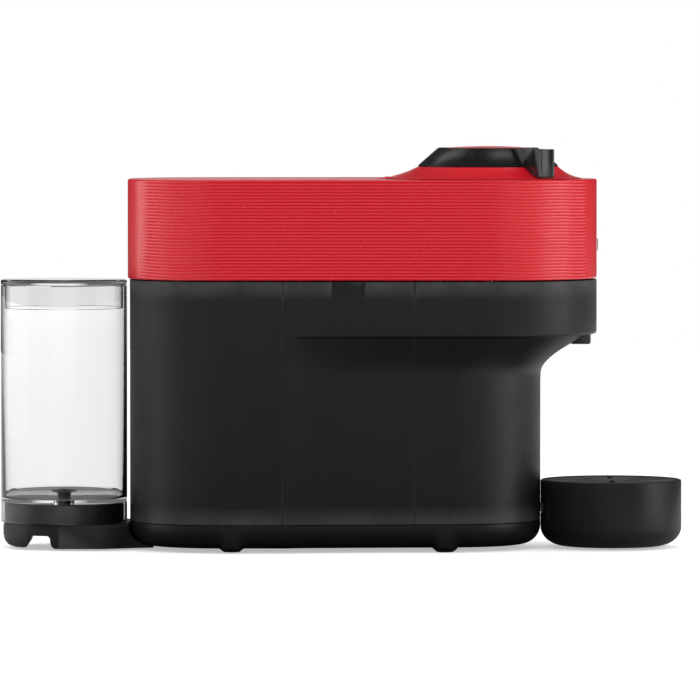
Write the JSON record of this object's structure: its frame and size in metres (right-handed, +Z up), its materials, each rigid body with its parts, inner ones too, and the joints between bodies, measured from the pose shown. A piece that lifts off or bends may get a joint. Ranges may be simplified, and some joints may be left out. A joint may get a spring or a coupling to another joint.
{
  "type": "pod coffee machine",
  "caption": "Compact pod coffee machine: ribbed head with hinged lid and lock lever, side pod drawer, lift-off clear tank behind, round drip cup in front.",
  "frame": {"origin": "on the standing surface, under the centre of the machine's overall box", "axes": "+X towards the cup in front, +Z up, -Y towards the side with the pod drawer"},
  "size_m": [0.426, 0.136, 0.2512],
  "materials": {
    "black_casing": "fine satin grain",
    "black_inner": "matt moulded",
    "red_head": "satin with moulded ribs",
    "clear_tank": "clear polished",
    "rubber": "matt",
    "silicone": "matt",
    "steel": "turned",
    "cast_aluminium": "cast",
    "silver_badge": "satin",
    "circuit_board": "lacquered",
    "light_lens": "frosted"
  },
  "bodies": {
    "base": {"base_tray": "black_casing", "rear_casing": "black_casing", "front_casing": "black_casing", "side_cover": "black_casing", "spout": "black_casing", "tank_support": "black_casing", "tank_pedestal": "black_casing", "tray_dock": "black_casing", "deck_plate": "black_inner", "drawer_rail_front": "black_inner", "drawer_rail_rear": "black_inner", "brew_chamber": "black_inner", "pump": "black_inner", "flow_meter": "black_inner", "head_shell": "red_head", "foot_rear_left": "rubber", "foot_rear_right": "rubber", "foot_front_left": "rubber", "foot_front_right": "rubber", "support_pad": "rubber", "support_pad_left": "rubber", "pump_mount_left": "rubber", "pump_mount_right": "rubber", "cord_gland": "rubber", "inlet_seal": "silicone", "hose_meter_to_pump": "silicone", "hose_pump_to_heater": "silicone", "hose_heater_to_brew_unit": "silicone", "hinge_pin": "steel", "shaft_bearing": "steel", "spin_motor": "steel", "deck_screw_0": "steel", "deck_screw_1": "steel", "deck_screw_2": "steel", "deck_screw_3": "steel", "thermoblock": "cast_aluminium", "head_badge": "silver_badge", "control_board": "circuit_board"},
    "lid": {"lid_cone": "red_head", "lid_inner_plate": "black_inner", "bell_bearing": "steel", "light_ring": "light_lens", "button_board": "circuit_board", "button_spring": "steel"},
    "lever": {"lock_collar": "black_casing", "bayonet_ring": "steel"},
    "button": {"brew_button": "red_head"},
    "bell": {"brew_bell": "cast_aluminium"},
    "holder": {"pod_holder": "cast_aluminium", "rotor_shaft": "steel"},
    "drawer": {"drawer_front": "black_casing", "capsule_bin": "black_inner"},
    "tank": {"tank": "clear_tank"},
    "tank_lid": {"tank_lid": "clear_tank"},
    "valve": {"valve_plunger": "black_inner"},
    "drip_tray": {"drip_cup": "black_casing"},
    "cup_plate": {"cup_support": "black_casing"}
  },
  "joints": [
    {"name": "lid_hinge", "type": "hinge", "parent": "base", "child": "lid", "pos_m": [0.0276, 0, 0.2275], "axis": [0, -1, 0], "range_deg": [0, 65]},
    {"name": "lever_turn", "type": "hinge", "parent": "lid", "child": "lever", "pos_m": [0.0918, 0, 0.24], "axis": [0, 0, 1], "range_deg": [0, 60]},
    {"name": "button_press", "type": "slide", "parent": "lid", "child": "button", "axis": [0, 0, -1], "range_m": [0, 0.0012], "stiffness_N_per_m": 400, "deforming": ["button_spring"]},
    {"name": "bell_spin", "type": "hinge", "parent": "lid", "child": "bell", "pos_m": [0.0918, 0, 0.22], "axis": [0, 0, 1], "continuous": true},
    {"name": "holder_spin", "type": "hinge", "parent": "base", "child": "holder", "pos_m": [0.0918, 0, 0.184], "axis": [0, 0, 1], "continuous": true},
    {"name": "drawer_slide", "type": "slide", "parent": "base", "child": "drawer", "axis": [0, -1, 0], "range_m": [0, 0.105]},
    {"name": "tank_lift", "type": "slide", "parent": "base", "child": "tank", "axis": [0, 0, 1], "range_m": [0, 0.08]},
    {"name": "tank_lid_lift", "type": "slide", "parent": "tank", "child": "tank_lid", "axis": [0, 0, 1], "range_m": [0, 0.03]},
    {"name": "valve_slide", "type": "slide", "parent": "tank", "child": "valve", "axis": [0, 0, -1], "range_m": [0, 0.001]},
    {"name": "tray_slide", "type": "slide", "parent": "base", "child": "drip_tray", "axis": [1, 0, 0], "range_m": [0, 0.05]},
    {"name": "cup_plate_lift", "type": "slide", "parent": "drip_tray", "child": "cup_plate", "axis": [0, 0, 1], "range_m": [0, 0.015]}
  ],
  "couplings": [
    {"joint": "bell_spin", "follows": "holder_spin", "ratio": 1},
    {"joint": "valve_slide", "follows": "tank_lift", "ratio": 0.0125}
  ]
}
